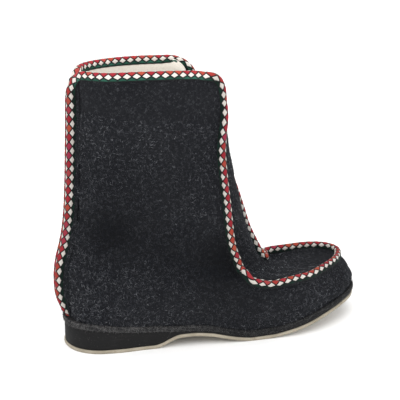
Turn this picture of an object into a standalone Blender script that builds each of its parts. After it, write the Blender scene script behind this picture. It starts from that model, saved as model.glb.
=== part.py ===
"""Right felt slipper boot: felt upper with bound seams on a wedge sole.

Metres, Z up, toe along +X, outer side along -Y. The origin is on the ground, under the
middle of the heel's flat. Inside this file x runs forward from the heel's back.
"""
import bpy
import bmesh
import numpy as np

# driving sizes
SOLE_LENGTH = 0.272
BALL_WIDTH = 0.098
HEEL_WIDTH = 0.066
BOOT_HEIGHT = 0.24
COLLAR_LENGTH = 0.124
COLLAR_WIDTH = 0.088
SHAFT_SETBACK = 0.017
VAMP_HEIGHT = 0.049
UPPER_WALL = 0.0048
SEAT_GAP = 0.0003

# sole sizes
OUTSOLE_THICKNESS = 0.003
HEEL_HEIGHT = 0.0215
FOREPART_HEIGHT = 0.0045
ARCH_RISE = 0.0095
TOE_SPRING = 0.019
MIDSOLE_THICKNESS = 0.005
INSOLE_THICKNESS = 0.003
INSOLE_CLEARANCE = 0.0012
OUTSOLE_LIP = 0.0008
MIDSOLE_LIP = 0.0006
UPPER_INSET = 0.0008
HEEL_REST_SHARE = 0.13

# collar shape
FRONT_CORNER_RADIUS = 0.0195
FRONT_CORNER_ANGLE = 43.0
BACK_NOTCH_DEPTH = 0.006
BACK_NOTCH_ANGLE = 14.0
SIDE_ROUNDNESS = 0.92

# woven binding folded over the panel edges
BINDING_HEIGHT = 0.009
BINDING_WIDTH = 0.0058
BRAID_THICKNESS = 0.0011
BINDING_SEAT = 0.0006
BINDING_END_GAP = 0.0012
BACK_BINDING_GAP = 0.0006
BACK_BINDING_FOOT = 0.0045
BACK_BINDING_START = 0.2
BACK_BINDING_FULL = 3.0
SHOULDER_SHARE = 0.62
CROWN_SHARE = 0.92
FOLD_SHARE = 0.3

# mesh steps
COLUMN_BANDS = ((0, 110, 10), (110, 150, 8), (150, 180, 4))
SOLE_ANGLE_STEP = 3.75
ROWS_PER_SECTION = 2
FRONT_BINDING_STEPS = 124
BACK_BINDING_STEPS = 42
SEAM_SAMPLES = 900
ANGLE_STEP = 0.5
RING_STEP = 0.04

# sole outline, a row for each angle round it from the heel's back to the toe's tip:
# angle, share of the half heel width, shares of the half ball width inside and outside
OUTLINE = (
    (0, 0.00, 0.00, 0.00),
    (15, 0.52, 0.00, 0.00),
    (30, 0.88, 0.00, 0.00),
    (45, 1.00, 0.02, 0.02),
    (60, 0.90, 0.08, 0.12),
    (75, 0.60, 0.32, 0.44),
    (90, 0.25, 0.64, 0.76),
    (105, 0.00, 0.90, 0.98),
    (120, 0.00, 0.98, 1.02),
    (135, 0.00, 0.93, 0.87),
    (150, 0.00, 0.76, 0.61),
    (165, 0.00, 0.48, 0.29),
    (180, 0.00, 0.10, -0.10),
)

# underside of the sole: share of length, shares of the arch rise and of the toe spring
UNDERSIDE = (
    (0.000, 0.00, 0.00),
    (0.255, 0.00, 0.00),
    (0.285, 0.12, 0.00),
    (0.310, 0.42, 0.00),
    (0.340, 0.82, 0.00),
    (0.380, 1.00, 0.00),
    (0.440, 0.68, 0.00),
    (0.480, 0.38, 0.00),
    (0.530, 0.10, 0.00),
    (0.575, 0.00, 0.00),
    (0.645, 0.00, 0.00),
    (0.700, 0.00, 0.07),
    (0.760, 0.00, 0.22),
    (0.830, 0.00, 0.48),
    (0.910, 0.00, 0.79),
    (1.000, 0.00, 1.00),
)

# top of the rubber wedge: share of length, then shares of the heel height, arch rise,
# forepart height and toe spring
WEDGE_TOP = (
    (0.00, 1.00, 0.00, 0.00, 0.00),
    (0.07, 0.99, 0.00, 0.00, 0.00),
    (0.15, 0.87, 0.00, 0.00, 0.00),
    (0.25, 0.74, 0.00, 0.00, 0.00),
    (0.34, 0.42, 0.48, 0.30, 0.00),
    (0.38, 0.17, 1.00, 0.35, 0.00),
    (0.44, 0.05, 0.70, 0.80, 0.00),
    (0.48, 0.00, 0.42, 1.00, 0.00),
    (0.53, 0.00, 0.11, 1.00, 0.00),
    (0.575, 0.00, 0.00, 1.00, 0.00),
    (0.645, 0.00, 0.00, 1.00, 0.00),
    (0.700, 0.00, 0.00, 1.00, 0.07),
    (0.760, 0.00, 0.00, 1.00, 0.22),
    (0.830, 0.00, 0.00, 1.00, 0.48),
    (0.910, 0.00, 0.00, 1.00, 0.79),
    (1.000, 0.00, 0.00, 1.00, 1.00),
)

# rings of the upper from the sole to the collar. Back x as a share of the shaft setback,
# back z as a share of the height; front x as shares of the sole and collar lengths, front z
# as shares of the vamp height and the boot height; share of the sole outline, then outer and
# inner shares of half the collar width; how far the ring follows the top of the sole
RINGS = (
    (0.18, 0.000, 0.993, 0.00, 0.00, 0.000, 1.00, 0.00, 0.00, 1.00),
    (0.09, 0.041, 1.007, 0.00, 0.15, 0.000, 1.03, 0.00, 0.00, 1.00),
    (0.06, 0.097, 0.994, 0.00, 0.38, 0.000, 0.86, 0.20, 0.17, 0.85),
    (0.06, 0.196, 0.963, 0.00, 0.78, 0.000, 0.56, 0.50, 0.45, 0.35),
    (0.07, 0.274, 0.893, 0.00, 1.01, 0.000, 0.25, 0.76, 0.74, 0.00),
    (0.18, 0.324, 0.798, 0.00, 1.00, 0.000, 0.05, 0.92, 0.88, 0.00),
    (0.38, 0.374, 0.717, 0.00, 1.01, 0.000, 0.00, 0.95, 0.93, 0.00),
    (0.56, 0.432, 0.667, 0.00, 1.11, 0.000, 0.00, 0.93, 0.92, 0.00),
    (0.70, 0.507, 0.318, 0.69, 1.00, 0.110, 0.00, 0.91, 0.92, 0.00),
    (0.80, 0.603, 0.160, 0.963, 0.60, 0.306, 0.00, 0.93, 0.95, 0.00),
    (0.88, 0.719, 0.060, 1.094, 0.20, 0.570, 0.00, 0.95, 0.96, 0.00),
    (0.97, 0.856, 0.010, 1.150, 0.00, 0.790, 0.00, 0.98, 0.98, 0.00),
    (1.00, 1.000, 0.000, 1.137, 0.00, 1.000, 0.00, 1.00, 1.00, 0.00),
)

# bound seam round the front strip and toe plug, from the outer collar corner to the inner
# one: angle off the front, ring, lean towards the strip or plug
FRONT_SEAM = (
    (-43.0, 11.36, 18),
    (-45.6, 10.61, 18),
    (-47.9, 10.00, 12),
    (-48.6, 9.45, 5),
    (-48.2, 8.89, 0),
    (-46.6, 8.23, -6),
    (-43.8, 7.66, -12),
    (-45.0, 7.09, -18),
    (-61.7, 5.09, -24),
    (-67.4, 3.97, -25),
    (-59.5, 3.77, -25),
    (-47.5, 3.72, -22),
    (-33.0, 3.65, -15),
    (-20.1, 3.33, -8),
    (-7.1, 3.13, -4),
    (4.9, 3.07, -4),
    (16.1, 3.17, -8),
    (24.2, 3.60, -10),
    (28.5, 4.24, -10),
    (31.6, 4.83, -10),
    (28.8, 5.57, -8),
    (13.6, 6.41, -5),
    (2.6, 6.89, 0),
    (5.4, 7.45, 0),
    (8.6, 8.20, 0),
    (11.9, 9.04, 0),
    (18.9, 9.70, 0),
    (28.3, 10.44, 0),
    (39.0, 11.36, 0),
)

MATERIALS = {
    "charcoal_felt": ((0.022, 0.024, 0.029, 1.0), 0.95),
    "grey_felt": ((0.055, 0.055, 0.058, 1.0), 0.97),
    "cream_felt": ((0.72, 0.66, 0.56, 1.0), 0.95),
    "black_rubber": ((0.024, 0.024, 0.025, 1.0), 0.62),
    "cream_crepe": ((0.55, 0.49, 0.36, 1.0), 0.75),
    "woven_braid": ((0.42, 0.04, 0.05, 1.0), 0.85),
}


def table(rows):
    return np.array(rows, dtype=float)


def steady(at, knots, values):
    """Smooth curve through the knots that never overshoots them."""
    at = np.clip(np.asarray(at, float), knots[0], knots[-1])
    gap = np.diff(knots)
    slope = np.diff(values) / gap
    bend = np.zeros(len(knots))
    for k in range(1, len(knots) - 1):
        if slope[k - 1] * slope[k] > 0:
            before = 2 * gap[k] + gap[k - 1]
            after = gap[k] + 2 * gap[k - 1]
            bend[k] = (before + after) / (before / slope[k - 1] + after / slope[k])
    bend[0] = slope[0]
    bend[-1] = slope[-1]
    return hermite(at, knots, values, bend)


def flowing(at, knots, values):
    """Smooth curve through the knots with rounded turns."""
    at = np.clip(np.asarray(at, float), knots[0], knots[-1])
    return hermite(at, knots, values, np.gradient(values, knots))


def hermite(at, knots, values, bend):
    i = np.clip(np.searchsorted(knots, at, side="right") - 1, 0, len(knots) - 2)
    h = knots[i + 1] - knots[i]
    t = (at - knots[i]) / h
    rise = (1 + 2 * t) * (1 - t) ** 2 * values[i] + t * t * (3 - 2 * t) * values[i + 1]
    return rise + t * (1 - t) ** 2 * h * bend[i] + t * t * (t - 1) * h * bend[i + 1]


def outline_y(angle):
    """Side position of the sole's edge; angles up to 180 run along the outer side."""
    rows = table(OUTLINE)
    inner = HEEL_WIDTH / 2 * rows[:, 1] + BALL_WIDTH / 2 * rows[:, 2]
    outer = HEEL_WIDTH / 2 * rows[:, 1] + BALL_WIDTH / 2 * rows[:, 3]
    knots = np.concatenate([rows[:, 0], 360 - rows[-2::-1, 0]])
    values = np.concatenate([-outer, inner[-2::-1]])
    knots = np.concatenate([knots[-3:-1] - 360, knots, knots[1:3] + 360])
    values = np.concatenate([values[-3:-1], values, values[1:3]])
    return flowing(np.asarray(angle, float) % 360, knots, values)


def along(x):
    return np.clip(np.asarray(x, float) / SOLE_LENGTH, 0.0, 1.0)


def underside(x):
    rows = table(UNDERSIDE)
    return steady(along(x), rows[:, 0], rows[:, 1] * ARCH_RISE + rows[:, 2] * TOE_SPRING)


def outsole_top(x):
    return underside(x) + OUTSOLE_THICKNESS


def wedge_top(x):
    rows = table(WEDGE_TOP)
    sizes = np.array([HEEL_HEIGHT, ARCH_RISE, FOREPART_HEIGHT, TOE_SPRING])
    return steady(along(x), rows[:, 0], rows[:, 1:] @ sizes)


def midsole_top(x):
    return wedge_top(x) + MIDSOLE_THICKNESS


def collar_drop(angle):
    """How far the collar's edge falls at its two rounded front corners and back notch."""
    off_front = np.abs(np.asarray(angle, float) - 180)
    corner = np.radians(FRONT_CORNER_ANGLE)
    per_radian = np.hypot(COLLAR_LENGTH * np.sin(corner), COLLAR_WIDTH * np.cos(corner)) / 2
    into = (corner - np.radians(off_front)) * per_radian + FRONT_CORNER_RADIUS
    into = np.clip(into, 0, FRONT_CORNER_RADIUS)
    front = FRONT_CORNER_RADIUS - np.sqrt(FRONT_CORNER_RADIUS ** 2 - into ** 2)
    off_back = 180 - off_front
    back = BACK_NOTCH_DEPTH * np.clip(1 - off_back / BACK_NOTCH_ANGLE, 0, 1) ** 2
    return front + back


def shell(angle, ring):
    """Outer surface of the upper at an angle round it and a ring number up it."""
    angle = np.asarray(angle, float)
    ring = np.asarray(ring, float)
    rows = table(RINGS)
    count = np.arange(len(rows), dtype=float)
    column = [flowing(ring, count, rows[:, k]) for k in range(rows.shape[1])]
    back_x = column[0] * SHAFT_SETBACK
    back_z = column[1] * BOOT_HEIGHT
    front_x = column[2] * SOLE_LENGTH + column[3] * COLLAR_LENGTH
    front_z = column[4] * VAMP_HEIGHT + column[5] * BOOT_HEIGHT
    turn = np.radians(angle)
    reach = (1 - np.cos(turn)) / 2
    x = back_x + (front_x - back_x) * reach
    side = np.sin(turn)
    half = np.where(side > 0, -column[7], column[8]) * COLLAR_WIDTH / 2
    y = outline_y(angle) * (1 - 2 * UPPER_INSET / BALL_WIDTH) * column[6]
    y = y + half * np.abs(side) ** SIDE_ROUNDNESS
    z = back_z + (front_z - back_z) * reach + column[9] * midsole_top(x)
    top = np.clip(ring - (len(rows) - 2), 0, 1)
    z = z - collar_drop(angle) * top
    return np.stack([x, y, z], -1)


def column_angles():
    """Angles of the upper's columns, closer together at the collar's front corners."""
    half = np.concatenate([np.linspace(a, b, n, endpoint=False) for a, b, n in COLUMN_BANDS])
    return np.concatenate([half, [180.0], 360 - half[:0:-1]])


def ring_numbers():
    return np.linspace(0, len(RINGS) - 1, (len(RINGS) - 1) * ROWS_PER_SECTION + 1)


def unit(vectors):
    return vectors / np.linalg.norm(vectors, axis=-1, keepdims=True)


def outward(angle, ring):
    """Surface directions and outward normal of the upper."""
    above = np.minimum(ring + RING_STEP, len(RINGS) - 1)
    below = np.maximum(ring - RING_STEP, 0)
    sideways = shell(angle + ANGLE_STEP, ring) - shell(angle - ANGLE_STEP, ring)
    round_it = sideways / (2 * ANGLE_STEP)
    up_it = (shell(angle, above) - shell(angle, below)) / (above - below)[..., None]
    return round_it, up_it, unit(np.cross(round_it, up_it))


def wall_grids():
    """Outer and inner points of the upper's wall, by row and column."""
    rings, angles = np.meshgrid(ring_numbers(), column_angles(), indexing="ij")
    outer = shell(angles, rings)
    normal = outward(angles, rings)[2]
    inner = outer - normal * UPPER_WALL
    level = unit(normal[0] * np.array([1.0, 1.0, 0.0]))
    inner[0] = outer[0] - level * UPPER_WALL
    outer[0, :, 2] = midsole_top(outer[0, :, 0]) + SEAT_GAP
    inner[0, :, 2] = midsole_top(inner[0, :, 0]) + SEAT_GAP
    return outer, inner, normal


def surface_mesh_point(grid, angle, ring):
    """Point on the upper's own facets, between its rows and columns."""
    angles = np.append(column_angles(), 360.0)
    rows = ring_numbers()
    grid = np.concatenate([grid, grid[:, :1]], axis=1)
    angle = np.asarray(angle, float) % 360
    i = np.clip(np.searchsorted(rows, ring, side="right") - 1, 0, len(rows) - 2)
    j = np.clip(np.searchsorted(angles, angle, side="right") - 1, 0, len(angles) - 2)
    s = ((ring - rows[i]) / (rows[i + 1] - rows[i]))[..., None]
    t = ((angle - angles[j]) / (angles[j + 1] - angles[j]))[..., None]
    near = grid[i, j]
    far = grid[i + 1, j + 1]
    low = near + (grid[i, j + 1] - near) * t + (far - grid[i, j + 1]) * s
    high = near + (grid[i + 1, j] - near) * s + (far - grid[i + 1, j]) * t
    return np.where(s < t, low, high)


def make_material(name):
    colour, roughness = MATERIALS[name]
    material = bpy.data.materials.get(name) or bpy.data.materials.new(name)
    material.use_nodes = True
    shader = material.node_tree.nodes["Principled BSDF"]
    shader.inputs["Base Color"].default_value = colour
    shader.inputs["Roughness"].default_value = roughness
    shader.inputs["Metallic"].default_value = 0.0
    return material


def add_piece(name, points, faces, material):
    """Closed mesh object with its faces turned outward, moved to the part's origin."""
    mesh = bpy.data.meshes.new(name)
    shift = np.array([SOLE_LENGTH * HEEL_REST_SHARE, 0.0, 0.0])
    mesh.from_pydata([tuple(p) for p in np.asarray(points) - shift], [], faces)
    work = bmesh.new()
    work.from_mesh(mesh)
    bmesh.ops.triangulate(work, faces=work.faces)
    bmesh.ops.recalc_face_normals(work, faces=work.faces)
    work.to_mesh(mesh)
    work.free()
    mesh.materials.append(make_material(material))
    piece = bpy.data.objects.new(name, mesh)
    bpy.context.scene.collection.objects.link(piece)
    return piece


def ring_faces(loops, size, closed):
    """Triangles between neighbouring loops of points; closed joins the last to the first."""
    faces = []
    steps = loops if closed else loops - 1
    for i in range(steps):
        for j in range(size):
            a = i * size + j
            b = i * size + (j + 1) % size
            c = ((i + 1) % loops) * size + (j + 1) % size
            d = ((i + 1) % loops) * size + j
            faces.append((a, b, c))
            faces.append((a, c, d))
    return faces


def sole_edge(angles):
    x = SOLE_LENGTH * (1 - np.cos(np.radians(angles))) / 2
    return np.stack([x, outline_y(angles)], -1)


def upper_edge(angles):
    return shell(angles, 0.0)[:, :2]


def make_layer(name, edge_at, lip, bottom, top, material):
    """Sole layer on a closed edge moved out by the lip, between two curves along its length."""
    angles = np.arange(0, 360, SOLE_ANGLE_STEP)
    edge = edge_at(angles)
    tangent = unit(np.roll(edge, -1, axis=0) - np.roll(edge, 1, axis=0))
    away = np.stack([tangent[:, 1], -tangent[:, 0]], -1)
    plan = edge + away * lip
    count = len(angles)
    low = np.column_stack([plan, bottom(plan[:, 0])])
    high = np.column_stack([plan, top(plan[:, 0])])
    points = np.concatenate([low, high])
    faces = [(i, (i + 1) % count, count + (i + 1) % count, count + i) for i in range(count)]
    for side in (0, count):
        for i in range(count // 2):
            a = side + i
            b = side + i + 1
            c = side + (count - i - 1) % count
            d = side + (count - i) % count
            faces.append(tuple(dict.fromkeys((a, b, c, d))))
    return add_piece(name, points, faces, material)


def make_upper():
    """Hollow felt wall, open at the collar and along the sole."""
    outer, inner, _ = wall_grids()
    rows, columns = outer.shape[:2]
    loops = np.concatenate([outer, inner[::-1]])
    faces = ring_faces(2 * rows, columns, closed=True)
    return add_piece("upper", loops.reshape(-1, 3), faces, "charcoal_felt")


def make_collar_binding():
    """Braid folded over the collar's edge, clear of the felt inside it."""
    outer, inner, normal = wall_grids()
    top_out = outer[-1]
    top_in = inner[-1]
    out_dir = normal[-1]
    down_out = unit(outer[-2] - top_out) * BINDING_HEIGHT
    down_in = unit(inner[-2] - top_in) * BINDING_HEIGHT
    up = unit(np.mean([-down_out, -down_in], axis=0))
    skin = BINDING_SEAT + BRAID_THICKNESS
    section = [
        top_out + out_dir * skin + down_out,
        top_out + out_dir * skin,
        top_out + (top_in - top_out) * FOLD_SHARE + up * skin,
        top_in + (top_out - top_in) * FOLD_SHARE + up * skin,
        top_in - out_dir * skin,
        top_in - out_dir * skin + down_in,
        top_in - out_dir * BINDING_SEAT + down_in,
        top_in - out_dir * BINDING_SEAT + up * BINDING_SEAT,
        top_out + out_dir * BINDING_SEAT + up * BINDING_SEAT,
        top_out + out_dir * BINDING_SEAT + down_out,
    ]
    loops = np.stack(section, axis=1)[::-1]
    faces = ring_faces(loops.shape[0], loops.shape[1], closed=True)
    return add_piece("binding_collar", loops.reshape(-1, 3), faces, "woven_braid")


def standing_seam(name, angle, ring, lean, height, shift):
    """Bound edge that stands on the upper along a path of angles and rings."""
    grid = wall_grids()[0]
    round_it, up_it, normal = outward(angle, ring)
    path = shell(angle, ring)
    run = unit(np.gradient(path, axis=0))
    side = unit(np.cross(normal, run))
    lean = np.radians(lean)[:, None]
    rise = normal * np.cos(lean) + side * np.sin(lean)
    across = unit(side - rise * np.sum(side * rise, axis=1, keepdims=True))

    def foot(offset):
        step = side * offset
        uu = np.sum(round_it * round_it, axis=1)
        uv = np.sum(round_it * up_it, axis=1)
        vv = np.sum(up_it * up_it, axis=1)
        su = np.sum(step * round_it, axis=1)
        sv = np.sum(step * up_it, axis=1)
        scale = uu * vv - uv * uv
        more_angle = (su * vv - sv * uv) / scale
        more_ring = (sv * uu - su * uv) / scale
        at_ring = np.clip(ring + more_ring, 0, len(RINGS) - 1)
        return surface_mesh_point(grid, angle + more_angle, at_ring) + normal * BINDING_SEAT

    half = BINDING_WIDTH / 2
    left = foot(shift - half)
    right = foot(shift + half)
    middle = foot(shift)
    tall = rise * height[:, None]
    narrow = across * half * SHOULDER_SHARE
    loops = np.stack([
        left,
        middle,
        right,
        right + tall * SHOULDER_SHARE,
        middle + tall * CROWN_SHARE + narrow,
        middle + tall,
        middle + tall * CROWN_SHARE - narrow,
        left + tall * SHOULDER_SHARE,
    ], axis=1)
    size = loops.shape[1]
    faces = ring_faces(len(loops), size, closed=False)
    faces.append(tuple(range(size)))
    faces.append(tuple(range((len(loops) - 1) * size, len(loops) * size)))
    return add_piece(name, loops.reshape(-1, 3), faces, "woven_braid")


def front_seam_path(steps):
    """Angle, ring and lean at even steps along the front seam."""
    rows = table(FRONT_SEAM)
    count = np.arange(len(rows), dtype=float)
    at = np.linspace(0, count[-1], SEAM_SAMPLES)
    angle, ring, lean = [flowing(at, count, rows[:, k]) for k in range(rows.shape[1])]
    path = shell(180 + angle, ring)
    far = np.append(0, np.cumsum(np.linalg.norm(np.diff(path, axis=0), axis=1)))
    even = np.linspace(0, far[-1], steps)
    return [np.interp(even, far, values) for values in (180 + angle, ring, lean)]


def make_front_binding():
    angle, ring, lean = front_seam_path(FRONT_BINDING_STEPS)
    height = np.full(len(angle), BINDING_HEIGHT)
    return standing_seam("binding_front", angle, ring, lean, height, 0.0)


def make_back_binding(name, hand):
    """One of the two bound panel edges that stand side by side up the heel and shaft."""
    last = len(RINGS) - 1.0
    span = np.linalg.norm(shell(0, last) - shell(0, last - 1))
    end = last - (BINDING_HEIGHT + BINDING_END_GAP) / span
    ring = np.linspace(BACK_BINDING_START, end, BACK_BINDING_STEPS)
    grown = np.clip(ring / BACK_BINDING_FULL, 0, 1)
    height = BACK_BINDING_FOOT + (BINDING_HEIGHT - BACK_BINDING_FOOT) * grown
    shift = hand * (BINDING_WIDTH + BACK_BINDING_GAP) / 2
    upright = np.zeros(len(ring))
    return standing_seam(name, upright, ring, upright, height, shift)


def build():
    for item in list(bpy.data.objects):
        bpy.data.objects.remove(item, do_unlink=True)
    make_layer("outsole", sole_edge, OUTSOLE_LIP, underside, outsole_top, "cream_crepe")
    make_layer(
        "wedge", sole_edge, 0.0,
        lambda x: outsole_top(x) + SEAT_GAP,
        lambda x: wedge_top(x) - SEAT_GAP,
        "black_rubber",
    )
    make_layer("felt_midsole", sole_edge, MIDSOLE_LIP, wedge_top, midsole_top, "grey_felt")
    make_layer(
        "insole", upper_edge, -(UPPER_WALL + INSOLE_CLEARANCE),
        lambda x: midsole_top(x) + SEAT_GAP,
        lambda x: midsole_top(x) + SEAT_GAP + INSOLE_THICKNESS,
        "cream_felt",
    )
    make_upper()
    make_collar_binding()
    make_front_binding()
    make_back_binding("binding_back_outer", -1)
    make_back_binding("binding_back_inner", 1)


build()
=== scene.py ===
"""Dressed scene of the right felt slipper boot: felt, woven braid, rubber and crepe.

Metres, Z up, toe along +X, outer side along -Y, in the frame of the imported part.
"""

import bpy
import numpy as np
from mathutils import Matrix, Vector


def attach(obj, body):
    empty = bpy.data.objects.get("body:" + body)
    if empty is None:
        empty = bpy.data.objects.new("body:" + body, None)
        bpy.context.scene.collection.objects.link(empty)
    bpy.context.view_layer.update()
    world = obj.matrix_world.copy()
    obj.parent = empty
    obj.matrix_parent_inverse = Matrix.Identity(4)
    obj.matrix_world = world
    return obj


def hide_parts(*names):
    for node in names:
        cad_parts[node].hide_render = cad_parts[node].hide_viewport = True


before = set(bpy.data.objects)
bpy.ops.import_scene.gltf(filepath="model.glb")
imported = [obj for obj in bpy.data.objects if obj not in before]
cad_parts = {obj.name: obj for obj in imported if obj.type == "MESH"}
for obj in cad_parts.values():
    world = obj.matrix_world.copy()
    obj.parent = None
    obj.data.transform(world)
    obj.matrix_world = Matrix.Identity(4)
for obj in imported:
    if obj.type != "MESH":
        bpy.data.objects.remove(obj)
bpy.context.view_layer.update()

# driving sizes, as in the part's source
SOLE_LENGTH = 0.272
BALL_WIDTH = 0.098
HEEL_WIDTH = 0.066
BOOT_HEIGHT = 0.24
COLLAR_LENGTH = 0.124
COLLAR_WIDTH = 0.088
SHAFT_SETBACK = 0.017
VAMP_HEIGHT = 0.049
UPPER_WALL = 0.0048
FELT_WALL = 0.0034
OUTSOLE_THICKNESS = 0.003
HEEL_HEIGHT = 0.0215
FOREPART_HEIGHT = 0.0045
ARCH_RISE = 0.0095
TOE_SPRING = 0.019
MIDSOLE_THICKNESS = 0.005
INSOLE_THICKNESS = 0.003
UPPER_INSET = 0.0008
HEEL_REST_SHARE = 0.13
FRONT_CORNER_RADIUS = 0.0195
FRONT_CORNER_ANGLE = 43.0
BACK_NOTCH_DEPTH = 0.006
BACK_NOTCH_ANGLE = 14.0
SIDE_ROUNDNESS = 0.92
ANGLE_STEP = 0.5
RING_STEP = 0.04

# woven braid
BRAID_HEIGHT = 0.0092
BRAID_HALF = 0.0026
SOLID_HALF = 0.00285
BRAID_THICKNESS = 0.001
BRAID_PITCH = 0.0076
COLLAR_TUCK = 0.0073
BRAID_GAP = 0.0003
LEAST_DROP = 0.0009
BRAID_SMOOTHING = 3.0
LINE_SAMPLES = 6000
SIDE_POINTS = 9
CROWN_POINTS = 9
STEPS_PER_PITCH = 10
BACK_SEAM_FROM = 172
BACK_SEAM_SPAN = 6

# pattern across the braid, in millimetres from the fold
FIRST_LOW = 0.25
FIRST_RISE = 2.6
SECOND_HIGH = 5.3
SECOND_RISE = 2.2
OUTLINE_HALF = 0.55
OUTLINE_BLUR = 0.12
BRAID_EDGE = 7.1
DARK_EDGE = 6.05
THREADS_PER_PITCH = 12.0
PUFF_HEIGHT = 0.00045
PUFF_REACH = 1.7
# side sway along the braid: height in metres, turns for each pitch, phase
SWAYS = ((0.00018, 2 * np.pi, 0.6), (0.00022, 0.37, 0.0))

# the braid's feet at the heel: how far they sink, from which angle and up to which ring
FOOT_SINK = 0.0080
FOOT_FROM = 160
FOOT_RINGS = 3.2
FOOT_POWER = 2.2
FOOT_SHORTER = 0.3

# felt that turns up into the braid
TURN_SPREAD = 0.0034
TURN_POINTS = 8
TURN_INSET = 0.0001
TURN_OVERLAP = 0.0008
TURN_KNEE = 0.0022
TURN_SINK = 0.0006
TUCK_SINK = 0.001

# felt wall: mesh, how much of the relief its inside takes, seam rises and held rings
UPPER_COLUMNS = 440
UPPER_ROWS = 181
INNER_SKIP = 9
INNER_RELIEF = 0.4
LINING_SKIP = (3, 2)
SEAM_RISE = 0.0032
SEAM_SPREAD = 0.0050
SEAM_SAMPLES = 90
CREASE_POINTS = 9
CREASE_END = 0.04
CREASE_FADE = 0.7
HELD_LOW_RINGS = 0.6
HELD_HIGH_RINGS = 0.8
HELD_POWER = 1.5

# loose fibres: share of the length at each joint, place of the root, spread of lengths,
# heights and bends, clearance and tilt
FIBRE_JOINTS = (0.0, 0.35, 0.7, 1.0)
FIBRE_ROOT = 0.4
FIBRE_TOP = 0.75
FIBRE_LENGTHS = (0.5, 1.5)
FIBRE_RISES = (0.1, 1.0)
FIBRE_BEND = 1.1
FIBRE_CLEAR = 0.00005
FIBRE_TILT = 0.7
FELT_FIBRE = (0.0020, 0.0005)
EDGE_FIBRE = (0.0022, 0.0005)
FELT_FIBRE_WIDTH = 0.00015
EDGE_FIBRE_WIDTH = 0.00009
BARE_TOP_ROWS = 14
FOOT_RING_TOP = 6.5

# sole layers: inset of the caps' rings, and waves of the cut edge: turns, share, phase
CAP_SHARES = (0.93, 0.75, 0.45, 0.12)
EDGE_WAVES = ((23, 1.0, 1), (41, 0.7, 2), (67, 0.6, 3))
EDGE_TONE_DROP = 0.45
EDGE_TONE_FROM = 0.07
EDGE_TONE_SPAN = 0.07

# studio and camera
FLOOR_REACH = 6
LIGHT_TARGET = (0.09, 0.0, 0.1)
LIGHTS = (
    ("key", (-0.9, -1.6, 1.9), (1.6, 1.2), 26.0),
    ("fill", (1.6, -1.3, 1.0), (1.4, 1.2), 9.0),
    ("top", (0.1, 0.1, 2.2), (2.0, 2.0), 16.0),
)
CAMERA_PLACE = (-0.1994, -0.8592, 0.4047)
CAMERA_TARGET = (0.08814, 0.0, 0.119)
CAMERA_LENS = 97.47
CAMERA_SENSOR = 36.0

SHIFT = np.array([SOLE_LENGTH * HEEL_REST_SHARE, 0.0, 0.0])

# sole outline: angle, share of the half heel width, shares of the half ball width
# inside and outside
OUTLINE = (
    (0, 0.00, 0.00, 0.00),
    (15, 0.52, 0.00, 0.00),
    (30, 0.88, 0.00, 0.00),
    (45, 1.00, 0.02, 0.02),
    (60, 0.90, 0.08, 0.12),
    (75, 0.60, 0.32, 0.44),
    (90, 0.25, 0.64, 0.76),
    (105, 0.00, 0.90, 0.98),
    (120, 0.00, 0.98, 1.02),
    (135, 0.00, 0.93, 0.87),
    (150, 0.00, 0.76, 0.61),
    (165, 0.00, 0.48, 0.29),
    (180, 0.00, 0.10, -0.10),
)

# underside: share of length, shares of the arch rise and of the toe spring
UNDERSIDE = (
    (0.000, 0.00, 0.00),
    (0.255, 0.00, 0.00),
    (0.280, 0.16, 0.00),
    (0.306, 0.55, 0.00),
    (0.340, 0.94, 0.00),
    (0.380, 1.00, 0.00),
    (0.440, 0.82, 0.00),
    (0.480, 0.52, 0.00),
    (0.530, 0.18, 0.00),
    (0.575, 0.00, 0.00),
    (0.645, 0.00, 0.03),
    (0.700, 0.00, 0.17),
    (0.760, 0.00, 0.37),
    (0.830, 0.00, 0.64),
    (0.910, 0.00, 0.89),
    (1.000, 0.00, 1.00),
)

# top of the wedge: share of length, shares of heel height, arch rise, forepart height and
# toe spring
WEDGE_TOP = (
    (0.00, 1.00, 0.00, 0.00, 0.00),
    (0.07, 0.99, 0.00, 0.00, 0.00),
    (0.15, 0.87, 0.00, 0.00, 0.00),
    (0.25, 0.74, 0.00, 0.00, 0.00),
    (0.34, 0.42, 0.48, 0.30, 0.00),
    (0.38, 0.17, 1.00, 0.35, 0.00),
    (0.44, 0.05, 0.83, 0.80, 0.00),
    (0.48, 0.00, 0.55, 1.00, 0.00),
    (0.53, 0.00, 0.19, 1.00, 0.00),
    (0.575, 0.00, 0.00, 1.00, 0.00),
    (0.645, 0.00, 0.00, 1.00, 0.03),
    (0.700, 0.00, 0.00, 1.00, 0.17),
    (0.760, 0.00, 0.00, 1.00, 0.37),
    (0.830, 0.00, 0.00, 1.00, 0.64),
    (0.910, 0.00, 0.00, 1.00, 0.89),
    (1.000, 0.00, 0.00, 1.00, 1.00),
)

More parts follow.
